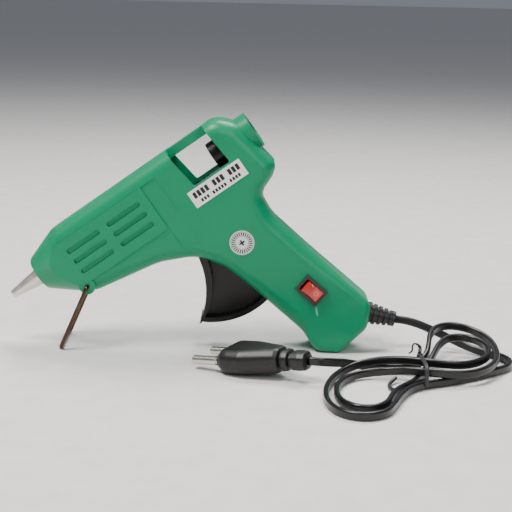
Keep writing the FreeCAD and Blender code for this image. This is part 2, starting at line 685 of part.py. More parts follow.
def switch():
    bezel = switch_prism("bezel", "bezel_length", "bezel_width", half, "bezel_height")
    case = switch_prism("switch_case", "switch_length", "switch_width", half - num("switch_depth"),
                        "switch_depth")
    gap = switch_prism("switch_gap", 12.2, 7.2, half - num("switch_depth") + 1.2, 14)
    axle_hole = rod("axle_hole", tuple(on_switch(0, half - 1.4, -4.4)), (-switch_way.z, 0, switch_way.x),
                    "0.9 + fit", 8.8)
    keep(cut("switch_frame_body", fuse("switch_frame_solid", bezel, case), gap, axle_hole), "switch_frame")

    tilt = math.radians(num("rocker_tilt"))
    profile = [(-5.2, 4.0), (0, 2.7), (5.2, 4.0), (5.2, 1.2), (3.4, -2.2), (-3.4, -2.2), (-5.2, 1.2)]
    turned_profile = [(a * math.cos(tilt) + n * math.sin(tilt), n * math.cos(tilt) - a * math.sin(tilt))
                      for a, n in profile]
    side_way = Vector(-switch_way.z, 0, switch_way.x)
    points = [on_switch(a, half - 1.4 + n, -3.3) for a, n in turned_profile]
    face = add("Part::Feature", "rocker_face")
    face.Shape = Part.Face(Part.makePolygon(points + points[:1]))
    blank = add("Part::Extrusion", "rocker_blank")
    blank.Base = face
    blank.DirMode = "Custom"
    blank.Dir = side_way
    blank.LengthFwd = 6.6
    blank.Solid = True
    axle = rod("rocker_axle", tuple(on_switch(0, half - 1.4, -4.2)), tuple(side_way), 0.9, 8.4)
    keep(fuse("rocker_body", blank, axle), "rocker")
    blades = []
    for i, along in enumerate((-4.0, 4.0)):
        blade = switch_prism("blade_%d" % i, 0.8, 4.8, half - num("switch_depth") - 7, 7)
        blade.Placement = Placement(switch_way * along, Rotation()) * blade.Placement
        blades.append(blade)
    compound = add("Part::Compound", "switch_terminals_body")
    compound.Links = blades
    keep(compound, "switch_terminals")


def labels():
    start = rear_x - 47.4
    plate = box("label_body", (start, -half - num("label_thickness"), -16.8),
                (start + num("label_length"), -half, -16.8 + num("label_height")))
    keep(plate, "label")
    spot = root + Vector(-21.5, 0, -2.1)
    keep(rod("round_sticker_body", (spot.x, -half, spot.z), (0, -1, 0), "sticker_radius", "label_thickness"),
         "round_sticker")


def screws():
    """Five self-tapping screws from the right side."""
    bodies = []
    for i, (x, z) in enumerate(SCREWS):
        head = rod("screw_head_%d" % i, (x, half - 2.4, z), (0, 1, 0), "screw_head_radius", 1.6)
        shank = rod("screw_shank_%d" % i, (x, half - 2.4, z), (0, -1, 0), "screw_radius", half + 8)
        bodies.append(fuse("housing_screw_%d" % i, head, shank))
    compound = add("Part::Compound", "housing_screws_body")
    compound.Links = bodies
    keep(compound, "housing_screws")


# ---------------------------------------------------------------- cord's exit inside the handle

def strain_relief():
    """Ribbed boot: a flange inside the wall, a neck through it and five ribs that shrink outwards."""
    big, small, reach = num("relief_radius"), num("relief_end_radius"), num("relief_length")
    neck = big - 0.5
    profile = [(-5.2, 0), (-5.2, big + 0.4), (-3.6, big + 0.4), (-3.6, neck), (0.3, neck)]
    ribs, rib = 5, 1.7
    pitch = (reach - 0.3) / ribs
    for i in range(ribs):
        x = 0.3 + i * pitch
        radius = big + (small - big) * i / (ribs - 1)
        profile += [(x, radius), (x + rib, radius - 0.1)]
        if i < ribs - 1:
            profile += [(x + rib, radius - 1.3), (x + pitch, radius - 1.4)]
    profile += [(reach, profile[-1][1]), (reach, 0)]
    body = turned("strain_relief_body", profile)
    body.Placement = Placement(relief_root, Rotation(Vector(1, 0, 0), relief_way))
    keep(body, "strain_relief")

    (first_x, bar_z), (second_x, _) = CLAMP_SCREWS
    bar = box("clamp_bar", (first_x - 2.4, 0, bar_z - 2.6), (second_x + 2.4, 3, bar_z + 2.6))
    holes = [rod("clamp_hole_%d" % i, (x, -1, z), (0, 1, 0), "clamp_screw_radius", 8)
             for i, (x, z) in enumerate(CLAMP_SCREWS)]
    keep(cut("cord_clamp_body", bar, *holes), "cord_clamp")
    bodies = []
    for i, (x, z) in enumerate(CLAMP_SCREWS):
        head = rod("clamp_head_%d" % i, (x, 3, z), (0, 1, 0), 2.0, 1.4)
        shank = rod("clamp_shank_%d" % i, (x, 3, z), (0, -1, 0), "clamp_screw_radius", 8.5)
        bodies.append(fuse("clamp_screw_%d" % i, head, shank))
    compound = add("Part::Compound", "clamp_screws_body")
    compound.Links = bodies
    keep(compound, "clamp_screws")


def leads():
    """Two insulated wires up the back of the handle and forward under the chamber."""
    for label, y in (("live_lead", 8.3), ("neutral_lead", 10.5)):
        route = [Vector(heel.x - 13, y, heel.z + 15), Vector(root.x - 1.2, y, root.z - 30),
                 Vector(root.x - 3.8, y, root.z - 8), Vector(root.x - 3.9, y, -33),
                 Vector(root.x - 16, y, -25), Vector(rear_x - 55, y, -20.2), Vector(66, y, -17.0), Vector(50, y, -14.2)]
        body = add("Part::Feature", label + "_body")
        body.Shape = bent_tube(route, 0.8, [8, 8, 5, 8, 14, 20])
        keep(body, label)


housing_half(LEFT)
housing_half(RIGHT)
melt_path()
carriage()
trigger()
return_spring()
wire_stand()
switch()
labels()
screws()
strain_relief()
leads()
doc.recompute()


# ---------------------------------------------------------------- how the gun stands

def toe_arc():
    """Centre and radius of the handle's toe."""
    index = len(HOUSING) - 9
    return corners(HOUSING)[index][3], HOUSING[index][2]


def gun_placement():
    """Lean the gun so that the stand's foot and the toe touch Z = 0, centred in X."""
    centre, radius = toe_arc()
    span = centre - foot
    lean = math.asin((radius - num("wire_radius")) / span.Length) - math.atan2(span.z, span.x)
    turn = Rotation(Vector(0, 1, 0), -math.degrees(lean))
    leaning = Placement(Vector(0, 0, 0), turn)
    low, high = 1e9, -1e9
    for obj, _ in parts:
        shape = obj.Shape.copy()
        shape.Placement = leaning * shape.Placement
        bounds = shape.optimalBoundingBox(False, False)
        low, high = min(low, bounds.XMin), max(high, bounds.XMax)
    ground = turn.multVec(foot).z - num("wire_radius")
    return Placement(Vector(-(low + high) / 2, 0, -ground), turn), math.degrees(lean)


pose, lean_degrees = gun_placement()
for obj, _ in parts:
    obj.Placement = pose * obj.Placement
print("lean %.2f" % lean_degrees)


# ---------------------------------------------------------------- mains cord, in the standing frame

PLUG_AT = Vector(14.3, -44.7, 6.5)
PLUG_YAW, PLUG_PITCH = math.radians(27.9), math.radians(6.3)


def plug_placement():
    """The plug's own X runs from its pins' face to the cord, its Z across the pins, its -Y up."""
    way = Vector(math.cos(PLUG_YAW) * math.cos(PLUG_PITCH), -math.sin(PLUG_YAW) * math.cos(PLUG_PITCH),
                 math.sin(PLUG_PITCH))
    across = Vector(math.sin(PLUG_YAW), math.cos(PLUG_YAW), 0)
    return Placement(PLUG_AT, Rotation(way, across.cross(way), across, "XYZ"))


def plug_outline():
    wide, reach = num("plug_half"), num("plug_length")
    return [(0, -wide + 2, 2.5), (6, -wide, 4), (15, -wide, 6), (reach, -6.2, 3),
            (reach, 6.2, 3), (15, wide, 6), (6, wide, 4), (0, wide - 2, 2.5)]


def plug():
    """Flat two-pin plug: a body that narrows to the cord, a waist and an end block."""
    place = plug_placement()
    thick = num("plug_thickness")
    sections = []
    for i, (side, less) in enumerate(((1, 3.4), (0, 0.0), (-1, 3.4))):
        outline = plug_outline() if less == 0 else inset(plug_outline(), less)
        sketch = outline_sketch("plug_section_%d" % i, outline)
        sketch.Placement = Placement(Vector(0, side * thick / 2, 0), Rotation(Vector(1, 0, 0), 90))
        sections.append(sketch)
    shell = add("Part::Loft", "plug_shell")
    shell.Sections, shell.Solid, shell.Ruled = sections, True, True
    reach = num("plug_length")
    waist = box("plug_waist", (reach - 4, -3.4, -4.2), (reach + 4, 3.4, 4.2))
    block = prism("plug_block", [(reach + 2.6, -6.2, 1.2), (reach + 11, -5.6, 2.6),
                                 (reach + 11, 5.6, 2.6), (reach + 2.6, 6.2, 1.2)], -5.0, 10.0)
    body = fuse("plug_body_solid", shell, waist, block)
    holes = [rod("plug_pin_hole_%d" % i, (-1, 0, z), (1, 0, 0), "plug_pin_radius - 0.4", 9)
             for i, z in enumerate((num("-pin_pitch / 2"), num("pin_pitch / 2")))]
    body = cut("plug_body_cut", body, *holes)
    body.Placement = place
    keep(body, "plug_body", False)
    radius, length, root = num("plug_pin_radius"), num("plug_pin_length"), num("plug_pin_radius - 0.4")
    pins = []
    for i, z in enumerate((-num("pin_pitch") / 2, num("pin_pitch") / 2)):
        pin = turned("plug_pin_%d" % i, [(8, 0), (-length, 0), (-length, radius - 1.0),
                                         (-length + 0.35, radius - 0.4), (-length + 1.0, radius),
                                         (-0.4, radius), (-0.4, root), (8, root)])
        pin.Placement = place * Placement(Vector(0, 0, z), Rotation())
        pins.append(pin)
    compound = add("Part::Compound", "plug_pins_body")
    compound.Links = pins
    keep(compound, "plug_pins", False)
    return place.multVec(Vector(reach + 11, 0, 0))


def slab(name, outline, low, height):
    """A flat-lying solid from a plan outline of (x, y, radius)."""
    body = add("Part::Extrusion", name)
    sketch = outline_sketch(name + "_outline", outline)
    sketch.Placement = Placement(Vector(0, 0, low), Rotation())
    body.Base = sketch
    body.DirMode = "Custom"
    body.Dir = Vector(0, 0, 1)
    body.Solid = True
    bind(body, "LengthFwd", height)
    return body


def cord(plug_end):
    """The cord's two free stretches, and the tied hank between them as one solid."""
    exit_point = pose.multVec(relief_root + relief_way * num("relief_length"))
    print("cord exit", exit_point, "plug end", plug_end)
    lead = [exit_point] + [Vector(*p) for p in
                           ((120.7, -0.3, 14.6), (128.7, -0.9, 11.4), (136.7, -2, 8), (144.2, -5, 5),
                            (150.7, -9.5, 3.2))]
    tail = [plug_end] + [Vector(*p) for p in
                         ((62.2, -69.5, 12.2), (68.7, -66, 10.8), (75.7, -56.5, 7.9), (82.2, -50.5, 5.2),
                          (91.7, -45, 2.6))]
    for label, route in (("cord_lead", lead), ("cord_tail", tail)):
        body = add("Part::Feature", label + "_body")
        body.Shape = bent_tube(route, num("cord_radius"))
        keep(body, label, False)
    left = slab("hank_left", [(118.7, -43, 6), (90.7, -39.5, 20), (64.7, -56, 22), (60.2, -86, 25), (61.7, -117, 18),
                              (79.7, -131, 18), (97.7, -121, 18), (105.7, -97, 25), (118.7, -79, 8)], 0.1, "hank_height")
    right = slab("hank_right", [(110.7, -44, 6), (118.7, -36, 8), (120.7, -13, 10), (137.7, -2.5, 12), (154.7, -4, 12),
                                (163.7, -20, 12), (172.2, -25, 8), (170.7, -44, 10), (155.7, -62, 15), (138.7, -74, 15),
                                (110.7, -77, 6)], 0.1, "lobe_height")
    keep(fuse("cord_hank_body", left, right), "cord_hank", False)
    low, high, near, far = 0.1, num("hank_height") + 0.8, -76.4, -44.4
    ring = cut("tie_ring", box("tie_outside", (114.9, near, low), (117.5, far, high)),
               box("tie_inside", (113.7, near + 0.9, low + 0.9), (118.7, far - 0.9, high - 0.9)))
    keep(ring, "twist_tie", False)


cord(plug())


# ---------------------------------------------------------------- check and write

doc.recompute()
failed = [o.Name for o in doc.Objects if "Invalid" in o.State or "Error" in o.State]
if failed:
    raise RuntimeError("failed objects: %s" % failed)
os.makedirs("parts", exist_ok=True)
for obj, _ in parts:
    shape = obj.Shape
    if shape.isNull() or not shape.isValid() or not shape.Solids:
        raise RuntimeError("bad shape: " + obj.Label)
    shape.exportStep("parts/%s.step" % obj.Label)
    print("%-20s solids %d volume %9.1f" % (obj.Label, len(shape.Solids), shape.Volume))
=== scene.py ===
"""A green hot-melt glue gun on its wire stand, with a tied mains cord: finishes, cord and studio."""
import logging
import math
from dataclasses import dataclass, field
from enum import Enum

import bpy
import numpy as np
from mathutils import Matrix, Vector


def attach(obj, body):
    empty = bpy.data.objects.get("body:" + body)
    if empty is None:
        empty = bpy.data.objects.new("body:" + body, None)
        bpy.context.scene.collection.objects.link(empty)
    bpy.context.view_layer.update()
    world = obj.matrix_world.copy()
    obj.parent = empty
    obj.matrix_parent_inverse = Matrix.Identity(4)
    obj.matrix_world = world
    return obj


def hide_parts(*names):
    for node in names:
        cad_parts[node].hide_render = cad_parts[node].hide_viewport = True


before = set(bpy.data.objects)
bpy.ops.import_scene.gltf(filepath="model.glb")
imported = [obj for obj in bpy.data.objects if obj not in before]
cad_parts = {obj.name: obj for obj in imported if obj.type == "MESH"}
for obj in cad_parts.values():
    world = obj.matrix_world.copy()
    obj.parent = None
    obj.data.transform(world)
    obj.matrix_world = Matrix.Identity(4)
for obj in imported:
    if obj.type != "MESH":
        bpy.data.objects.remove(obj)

LOG = logging.getLogger("glue_gun")
MM = 0.001
PRINT_SHARPNESS = 9000.0             # slope of a printed edge, per metre
PLUG_POINTS = 72                    # points round the plug's section
LEAN = math.radians(35.73)          # how far the standing gun's barrel tips back
Points = list[tuple[float, float, float]]
Colour = tuple[float, float, float]


# ---------------------------------------------------------------- surfaces

def from_gun(u: float, y: float, w: float) -> np.ndarray:
    """Turns a point along the barrel (u), across (y) and above the bore (w) into the shared frame.

    Args:
        u: millimetres back from the barrel's front.
        y: millimetres to the right of the parting plane.
        w: millimetres above the bore's line.

    Returns:
        The point in metres: the gun's own axes turned by LEAN, then moved to where it stands.
    """
    cos, sin = math.cos(LEAN), math.sin(LEAN)
    return np.array([-92.575 + u * cos - w * sin, y, 37.101 + u * sin + w * cos]) * MM


def lattice(name: str, rings: np.ndarray, closed_ends: bool = True) -> bpy.types.Object:
    """Makes a tube-like mesh from rings of points.

    Args:
        name: the new object's name.
        rings: an array of (rings, points in a ring, 3); each ring is closed on itself.
        closed_ends: whether the first and last rings get a face each.

    Returns:
        A smooth-shaded object whose quads join each ring to the next.
    """
    count, around = rings.shape[:2]
    index = np.arange(count * around).reshape(count, around)
    right = np.roll(index, -1, axis=1)
    quads = np.stack([index[:-1], right[:-1], right[1:], index[1:]], axis=-1).reshape(-1, 4)
    faces = quads.tolist()
    if closed_ends:
        faces += [index[0, ::-1].tolist(), index[-1].tolist()]
    mesh = bpy.data.meshes.new(name)
    mesh.from_pydata(rings.reshape(-1, 3).tolist(), [], faces)
    mesh.validate()
    volume = signed_volume(rings)
    if volume < 0:
        mesh.flip_normals()
    mesh.polygons.foreach_set("use_smooth", np.ones(len(mesh.polygons), bool))
    mesh.update()
    piece = bpy.data.objects.new(name, mesh)
    bpy.context.scene.collection.objects.link(piece)
    return piece


def signed_volume(rings: np.ndarray) -> float:
    """Volume inside a tube of rings, negative where its quads wind inwards.

    Args:
        rings: the tube's points, as lattice takes them.

    Returns:
        The sum over the quads of a . (b x c), measured from each ring's own middle.
    """
    middle = rings.mean(axis=1, keepdims=True)
    a, b, d = rings[:-1], np.roll(rings[:-1], -1, axis=1), rings[1:]
    outward = a - middle[:-1]
    return float((outward * np.cross(b - a, d - a)).sum())


def carry(line: np.ndarray, outline: np.ndarray, upward: tuple[float, float, float],
          size: np.ndarray | float = 1.0) -> np.ndarray:
    """Carries a closed outline along a line.

    Args:
        line: the (n, 3) points that the outline's middle follows.
        outline: the (m, 2) outline, first across and then up.
        upward: the direction that the outline's second axis leans towards.
        size: a scale for each point of the line, or one for all.

    Returns:
        Rings of (n, m, 3): line + across * side + up * rise, where side is the unit cross product
        of the line's direction and upward, and rise is square to both.
    """
    ahead = np.gradient(line, axis=0)
    ahead /= np.linalg.norm(ahead, axis=1, keepdims=True)
    side = np.cross(ahead, np.array(upward, float))
    side /= np.maximum(np.linalg.norm(side, axis=1, keepdims=True), 1e-9)
    rise = np.cross(side, ahead)
    grow = np.broadcast_to(np.asarray(size, float), (len(line),))[:, None, None]
    return (line[:, None] + grow * (outline[None, :, :1] * side[:, None]
                                    + outline[None, :, 1:] * rise[:, None]))


def round_outline(radius: float, count: int = 12) -> np.ndarray:
    """A circle of count points.

    Args:
        radius: its radius in metres.
        count: how many points.

    Returns:
        The (count, 2) points (r cos t, r sin t).
    """
    turn = np.linspace(0, 2 * math.pi, count, endpoint=False)
    return radius * np.stack([np.cos(turn), np.sin(turn)], axis=1)


def twin_outline(width: float, thickness: float, count: int = 28) -> np.ndarray:
    """The outline of a flat twin cord: two round cores side by side with a soft groove between.

    Args:
        width: over both cores.
        thickness: over one core.
        count: how many points.

    Returns:
        Points whose height is r sin t + o tanh(4 sin t) and whose half width is
        r cos t (1 - g exp(-(sin t / 0.3)^2)), with r half the thickness and o half the rest.
    """
    radius = thickness / 2
    offset = width / 2 - radius
    turn = np.linspace(0, 2 * math.pi, count, endpoint=False)
    sin = np.sin(turn)
    rise = radius * sin + offset * np.tanh(4 * sin)
    across = radius * np.cos(turn) * (1 - 0.16 * np.exp(-(sin / 0.3) ** 2))
    return np.stack([across, rise], axis=1)


def smooth_line(name: str, route: Points, step: float) -> np.ndarray:
    """The line of a NURBS spline of order 3 through a route's control points.

    Args:
        name: a name for the short-lived curve.
        route: control points in millimetres.
        step: the spacing wanted along the line, in metres.

    Returns:
        Points in metres, evenly spaced along the spline, with both its ends.
    """
    curve = bpy.data.curves.new(name, "CURVE")
    curve.dimensions = "3D"
    spline = curve.splines.new("NURBS")
    spline.points.add(len(route) - 1)
    flat = np.column_stack([np.array(route) * MM, np.ones(len(route))]).ravel()
    spline.points.foreach_set("co", flat)
    spline.order_u = 3
    spline.use_endpoint_u = True
    spline.resolution_u = 16
    holder = bpy.data.objects.new(name, curve)
    mesh = bpy.data.meshes.new_from_object(holder)
    raw = np.empty(len(mesh.vertices) * 3)
    mesh.vertices.foreach_get("co", raw)
    raw = raw.reshape(-1, 3)
    bpy.data.meshes.remove(mesh)
    bpy.data.objects.remove(holder)
    bpy.data.curves.remove(curve)
    gone = np.concatenate([[0], np.cumsum(np.linalg.norm(np.diff(raw, axis=0), axis=1))])
    even = np.linspace(0, gone[-1], int(gone[-1] / step) + 2)
    return np.stack([np.interp(even, gone, raw[:, axis]) for axis in range(3)], axis=1)


def length_of(line: np.ndarray) -> float:
    """Length of a line of points, in metres."""
    return float(np.linalg.norm(np.diff(line, axis=0), axis=1).sum())


# ---------------------------------------------------------------- shared shader effects

class Effect:
    """A shader node group with named inputs and outputs, built once and placed in many finishes."""

    def __init__(self, name: str) -> None:
        """Starts an empty group.

        Args:
            name: the group's name.
        """
        self.tree = bpy.data.node_groups.new(name, "ShaderNodeTree")
        self.start = self.tree.nodes.new("NodeGroupInput")
        self.end = self.tree.nodes.new("NodeGroupOutput")

    def takes(self, name: str, kind: str, value: object = None) -> bpy.types.NodeSocket:
        """Adds an input.

        Args:
            name: the socket's name.
            kind: its type, such as NodeSocketFloat.
            value: its value where nothing is linked.

        Returns:
            The socket inside the group that carries it.
        """
        socket = self.tree.interface.new_socket(name, in_out="INPUT", socket_type=kind)
        if value is not None:
            socket.default_value = value
        return self.start.outputs[name]

    def gives(self, name: str, kind: str, source: bpy.types.NodeSocket) -> None:
        """Adds an output.

        Args:
            name: the socket's name.
            kind: its type.
            source: what it carries.
        """
        self.tree.interface.new_socket(name, in_out="OUTPUT", socket_type=kind)
        self.tree.links.new(source, self.end.inputs[name])

    def math(self, operation: str, *values: object) -> bpy.types.NodeSocket:
        """Adds a Math node.

        Args:
            operation: what it works out.
            values: sockets or plain numbers.

        Returns:
            Its result.
        """
        return math_node(self.tree, operation, *values)


def math_node(tree: bpy.types.NodeTree, operation: str, *values: object) -> bpy.types.NodeSocket:
    """Adds a Math node to any tree.

    Args:
        tree: the tree it goes in.
        operation: what it works out.
        values: sockets or plain numbers.

    Returns:
        Its result.
    """
    node = tree.nodes.new("ShaderNodeMath")
    node.operation = operation
    for socket, value in zip(node.inputs, values):
        if isinstance(value, bpy.types.NodeSocket):
            tree.links.new(value, socket)
        else:
            socket.default_value = value
    return node.outputs[0]


def noise_node(tree: bpy.types.NodeTree, place: bpy.types.NodeSocket, scale: object,
               detail: float) -> bpy.types.NodeSocket:
    """Adds a Noise Texture.

    Args:
        tree: the tree it goes in.
        place: the coordinates it reads.
        scale: its scale, a socket or a number.
        detail: its octaves.

    Returns:
        Its value from 0 to 1.
    """
    node = tree.nodes.new("ShaderNodeTexNoise")
    node.inputs["Detail"].default_value = detail
    tree.links.new(place, node.inputs["Vector"])
    if isinstance(scale, bpy.types.NodeSocket):
        tree.links.new(scale, node.inputs["Scale"])
    else:
        node.inputs["Scale"].default_value = scale
    return node.outputs["Fac"]


def make_grain() -> bpy.types.NodeTree:
    """Moulded grain: fine noise on top of a slow ripple.

    Returns:
        A group from Place, Scale and Ripple to Height.
    """
    effect = Effect("moulded_grain")
    place = effect.takes("Place", "NodeSocketVector")
    scale = effect.takes("Scale", "NodeSocketFloat", 2200.0)
    ripple = effect.takes("Ripple", "NodeSocketFloat", 0.4)
    fine = noise_node(effect.tree, place, scale, 3.0)
    slow = noise_node(effect.tree, place, effect.math("MULTIPLY", scale, 0.03), 1.0)
    effect.gives("Height", "NodeSocketFloat",
                 effect.math("ADD", fine, effect.math("MULTIPLY", slow, ripple)))
    return effect.tree


def make_wear() -> bpy.types.NodeTree:
    """Handling marks: sparse short scuffs inside slow patches.

    Returns:
        A group from Place, Scale and Amount to Scuffs and Patches, each from 0 to 1.
    """
    effect = Effect("handling_wear")
    place = effect.takes("Place", "NodeSocketVector")
    scale = effect.takes("Scale", "NodeSocketFloat", 60.0)
    amount = effect.takes("Amount", "NodeSocketFloat", 0.5)
    patches = noise_node(effect.tree, place, scale, 2.0)
    stretched = effect.tree.nodes.new("ShaderNodeMapping")
    stretched.inputs["Scale"].default_value = (1.0, 1.0, 5.0)
    stretched.inputs["Rotation"].default_value = (0.3, 0.7, 0.2)
    effect.tree.links.new(place, stretched.inputs["Vector"])
    marks = noise_node(effect.tree, stretched.outputs[0], effect.math("MULTIPLY", scale, 7.0), 4.0)
    sharp = effect.math("MULTIPLY", effect.math("SUBTRACT", marks, 0.64), 9.0)
    sharp = effect.math("MINIMUM", effect.math("MAXIMUM", sharp, 0.0), 1.0)
    effect.gives("Scuffs", "NodeSocketFloat", effect.math("MULTIPLY", sharp, amount))
    effect.gives("Patches", "NodeSocketFloat", patches)
    return effect.tree


def make_bar() -> bpy.types.NodeTree:
    """A printed bar: 1 inside a rectangle in the X and Z of Place, 0 outside, with a soft rim.

    Returns:
        A group from Place, Across, Up, Half Width and Half Height to Mask.
    """
    effect = Effect("printed_bar")
    place = effect.takes("Place", "NodeSocketVector")
    split = effect.tree.nodes.new("ShaderNodeSeparateXYZ")
    effect.tree.links.new(place, split.inputs[0])
    masks = []
    for axis, at, half in (("X", "Across", "Half Width"), ("Z", "Up", "Half Height")):
        middle = effect.takes(at, "NodeSocketFloat", 0.0)
        reach = effect.takes(half, "NodeSocketFloat", 0.001)
        away = effect.math("ABSOLUTE", effect.math("SUBTRACT", split.outputs[axis], middle))
        inside = effect.math("MULTIPLY", effect.math("SUBTRACT", reach, away), PRINT_SHARPNESS)
        masks.append(effect.math("MINIMUM", effect.math("MAXIMUM", inside, 0.0), 1.0))
    effect.gives("Mask", "NodeSocketFloat", effect.math("MULTIPLY", *masks))
    return effect.tree


def make_ring() -> bpy.types.NodeTree:
    """A printed ring around Place's Y axis: 1 within Half Width of Radius, 0 elsewhere.

    Returns:
        A group from Place, Radius and Half Width to Mask and Angle, the turn around the axis.
    """
    effect = Effect("printed_ring")
    place = effect.takes("Place", "NodeSocketVector")
    radius = effect.takes("Radius", "NodeSocketFloat", 0.005)
    half = effect.takes("Half Width", "NodeSocketFloat", 0.0002)
    split = effect.tree.nodes.new("ShaderNodeSeparateXYZ")
    effect.tree.links.new(place, split.inputs[0])
    x, z = split.outputs["X"], split.outputs["Z"]
    far = effect.math("SQRT", effect.math("ADD", effect.math("MULTIPLY", x, x),
                                          effect.math("MULTIPLY", z, z)))
    away = effect.math("ABSOLUTE", effect.math("SUBTRACT", far, radius))
    inside = effect.math("MULTIPLY", effect.math("SUBTRACT", half, away), PRINT_SHARPNESS)
    inside = effect.math("MINIMUM", effect.math("MAXIMUM", inside, 0.0), 1.0)
    effect.gives("Mask", "NodeSocketFloat", inside)
    effect.gives("Angle", "NodeSocketFloat", effect.math("ARCTAN2", z, x))
    return effect.tree


# ---------------------------------------------------------------- finishes

class Look(Enum):
    """How a finish answers light."""

    PLASTIC = "plastic"
    METAL = "metal"
    RUBBER = "rubber"


@dataclass(frozen=True)
class Finish:
    """One material: two tones that drift into each other, grain, and handling marks.

    The colours are linear. Place comes from Object coordinates, moved and turned by centre and turn,
    so that a pattern can follow the gun's own axes.
    """

    name: str
    tone: Colour
    second_tone: Colour
    look: Look = Look.PLASTIC
    roughness: float = 0.4
    patchiness: float = 0.12
    grain_scale: float = 2200.0
    grain: float = 0.12
    ripple: float = 0.4
    wear: float = 0.3
    wear_tone: Colour = (0.6, 0.6, 0.58)
    stretch: tuple[float, float, float] = (1.0, 1.0, 1.0)
    centre: tuple[float, float, float] = (0.0, 0.0, 0.0)
    turn: float = LEAN
    coat: float = 0.0
    soft_depth: float = 0.0
    specular: float = 0.5

    def make(self, effects: "Effects") -> bpy.types.Material:
        """Builds the material.

        Args:
            effects: the shared node groups.

        Returns:
            The material, whose Principled shader stays outside the groups.
        """
        material = bpy.data.materials.new(self.name)
        material.use_nodes = True
        tree = material.node_tree
        shader = tree.nodes["Principled BSDF"]
        place = self.place(tree)
        wear = effects.put(tree, effects.wear, Place=place, Scale=70.0, Amount=self.wear)
        grain = effects.put(tree, effects.grain, Place=place, Scale=self.grain_scale, Ripple=self.ripple)
        base = self.mix(tree, wear.outputs["Patches"], self.tone, self.second_tone)
        worn = self.mix(tree, wear.outputs["Scuffs"], base, self.wear_tone)
        painted = self.paint(tree, effects, worn)
        tree.links.new(painted, shader.inputs["Base Color"])
        spread = math_node(tree, "MULTIPLY", wear.outputs["Patches"], self.patchiness)
        rough = math_node(tree, "ADD", spread, self.roughness - self.patchiness / 2)
        rough = math_node(tree, "ADD", rough, math_node(tree, "MULTIPLY", wear.outputs["Scuffs"], 0.15))
        tree.links.new(rough, shader.inputs["Roughness"])
        bump = tree.nodes.new("ShaderNodeBump")
        bump.inputs["Strength"].default_value = self.grain
        bump.inputs["Distance"].default_value = 0.0002
        tree.links.new(grain.outputs["Height"], bump.inputs["Height"])
        tree.links.new(bump.outputs["Normal"], shader.inputs["Normal"])
        shader.inputs["Metallic"].default_value = 1.0 if self.look is Look.METAL else 0.0
        shader.inputs["Specular IOR Level"].default_value = self.specular
        shader.inputs["Coat Weight"].default_value = self.coat
        shader.inputs["Coat Roughness"].default_value = 0.12
        if self.soft_depth:
            shader.inputs["Subsurface Weight"].default_value = self.soft_depth
            shader.inputs["Subsurface Scale"].default_value = 0.002
        if self.look is Look.RUBBER:
            shader.inputs["Sheen Weight"].default_value = 0.02
        return material

    def place(self, tree: bpy.types.NodeTree) -> bpy.types.NodeSocket:
        """Object coordinates, centred, turned to the barrel and stretched.

        Args:
            tree: the material's tree.

        Returns:
            The coordinates.
        """
        source = tree.nodes.new("ShaderNodeTexCoord")
        turned = tree.nodes.new("ShaderNodeMapping")
        turned.vector_type = "TEXTURE"
        turned.inputs["Location"].default_value = self.centre
        turned.inputs["Rotation"].default_value = (0.0, -self.turn, 0.0)
        turned.inputs["Scale"].default_value = self.stretch
        tree.links.new(source.outputs["Object"], turned.inputs["Vector"])
        return turned.outputs[0]

    def mix(self, tree: bpy.types.NodeTree, share: bpy.types.NodeSocket, first: object,
            second: object) -> bpy.types.NodeSocket:
        """Mixes two colours.

        Args:
            tree: the material's tree.
            share: how much of the second colour.
            first: a socket or a colour.
            second: a socket or a colour.

        Returns:
            The mixed colour.
        """
        node = tree.nodes.new("ShaderNodeMix")
        node.data_type = "RGBA"
        tree.links.new(share, node.inputs[0])
        for socket, value in ((node.inputs[6], first), (node.inputs[7], second)):
            if isinstance(value, bpy.types.NodeSocket):
                tree.links.new(value, socket)
            else:
                socket.default_value = (*value, 1.0)
        return node.outputs[2]

    def paint(self, tree: bpy.types.NodeTree, effects: "Effects",
              base: bpy.types.NodeSocket) -> bpy.types.NodeSocket:
        """What is printed on top of the base colour: nothing on a plain finish."""
        return base


@dataclass(frozen=True)
class PrintedPlate(Finish):
    """A pale film with two rows of dark bars, which stand in for lettering."""

    ink: Colour = (0.02, 0.02, 0.025)
    bars: tuple[tuple[float, float, float, float], ...] = ()

    def paint(self, tree: bpy.types.NodeTree, effects: "Effects",
              base: bpy.types.NodeSocket) -> bpy.types.NodeSocket:
        """Adds the bars, each given as (across, up, half width, half height) in millimetres.

        Args:
            tree: the material's tree.
            effects: the shared node groups.
            base: the film's own colour.

        Returns:
            The film's colour with the bars in ink.
        """
        place = self.place(tree)
        for across, up, wide, high in self.bars:
            bar = effects.put(tree, effects.bar, **{"Place": place, "Across": across * MM, "Up": up * MM,
                                                    "Half Width": wide * MM, "Half Height": high * MM})
            base = self.mix(tree, bar.outputs["Mask"], base, self.ink)
        return base


